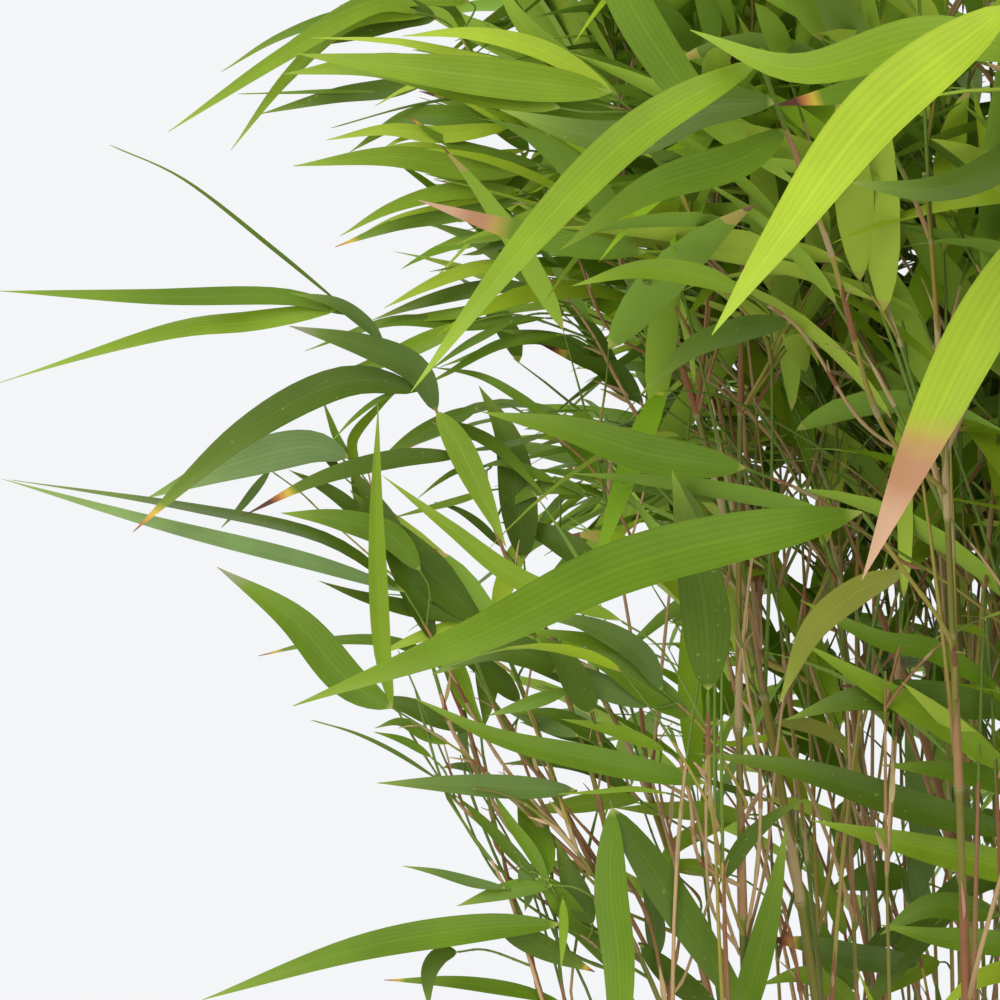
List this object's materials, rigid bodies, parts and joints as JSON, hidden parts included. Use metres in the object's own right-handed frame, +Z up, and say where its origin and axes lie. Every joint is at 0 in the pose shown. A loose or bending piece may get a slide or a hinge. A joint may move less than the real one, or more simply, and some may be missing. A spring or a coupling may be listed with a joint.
{
  "type": "potted bamboo",
  "caption": "Clump-forming bamboo in a plain round tapered pot: slender upright canes fan out of the soil and carry loose masses of narrow, pointed green leaves.",
  "frame": {"origin": "centre of the pot's flat underside, where the potted plant stands", "axes": "+Z up along the pot's axis and the canes; the picture looks along +Y at the plant's -X half"},
  "size_m": [0.7902, 0.7919, 1.1501],
  "materials": {
    "pot": "matt, faintly ribbed by moulding",
    "soil": "damp peat and bark crumbs",
    "cane": "smooth, satin, olive with tan sheaths",
    "leaf": "satin green, paler beneath"
  },
  "bodies": {
    "root": {"pot": "pot", "soil": "soil", "cane_01": "cane", "cane_02": "cane", "cane_03": "cane", "cane_04": "cane", "cane_05": "cane", "cane_06": "cane", "cane_07": "cane", "cane_08": "cane", "cane_09": "cane", "cane_10": "cane", "cane_11": "cane", "cane_12": "cane", "cane_13": "cane", "cane_14": "cane", "cane_15": "cane", "cane_16": "cane", "cane_17": "cane", "cane_18": "cane", "cane_19": "cane", "cane_20": "cane", "foliage_01": "leaf", "foliage_02": "leaf", "foliage_03": "leaf", "foliage_04": "leaf", "foliage_05": "leaf", "foliage_06": "leaf", "foliage_07": "leaf", "foliage_08": "leaf", "foliage_09": "leaf", "foliage_10": "leaf", "foliage_11": "leaf", "foliage_12": "leaf", "foliage_13": "leaf", "foliage_14": "leaf", "foliage_15": "leaf", "foliage_16": "leaf", "foliage_17": "leaf", "foliage_18": "leaf", "foliage_19": "leaf", "foliage_20": "leaf"}
  },
  "joints": []
}
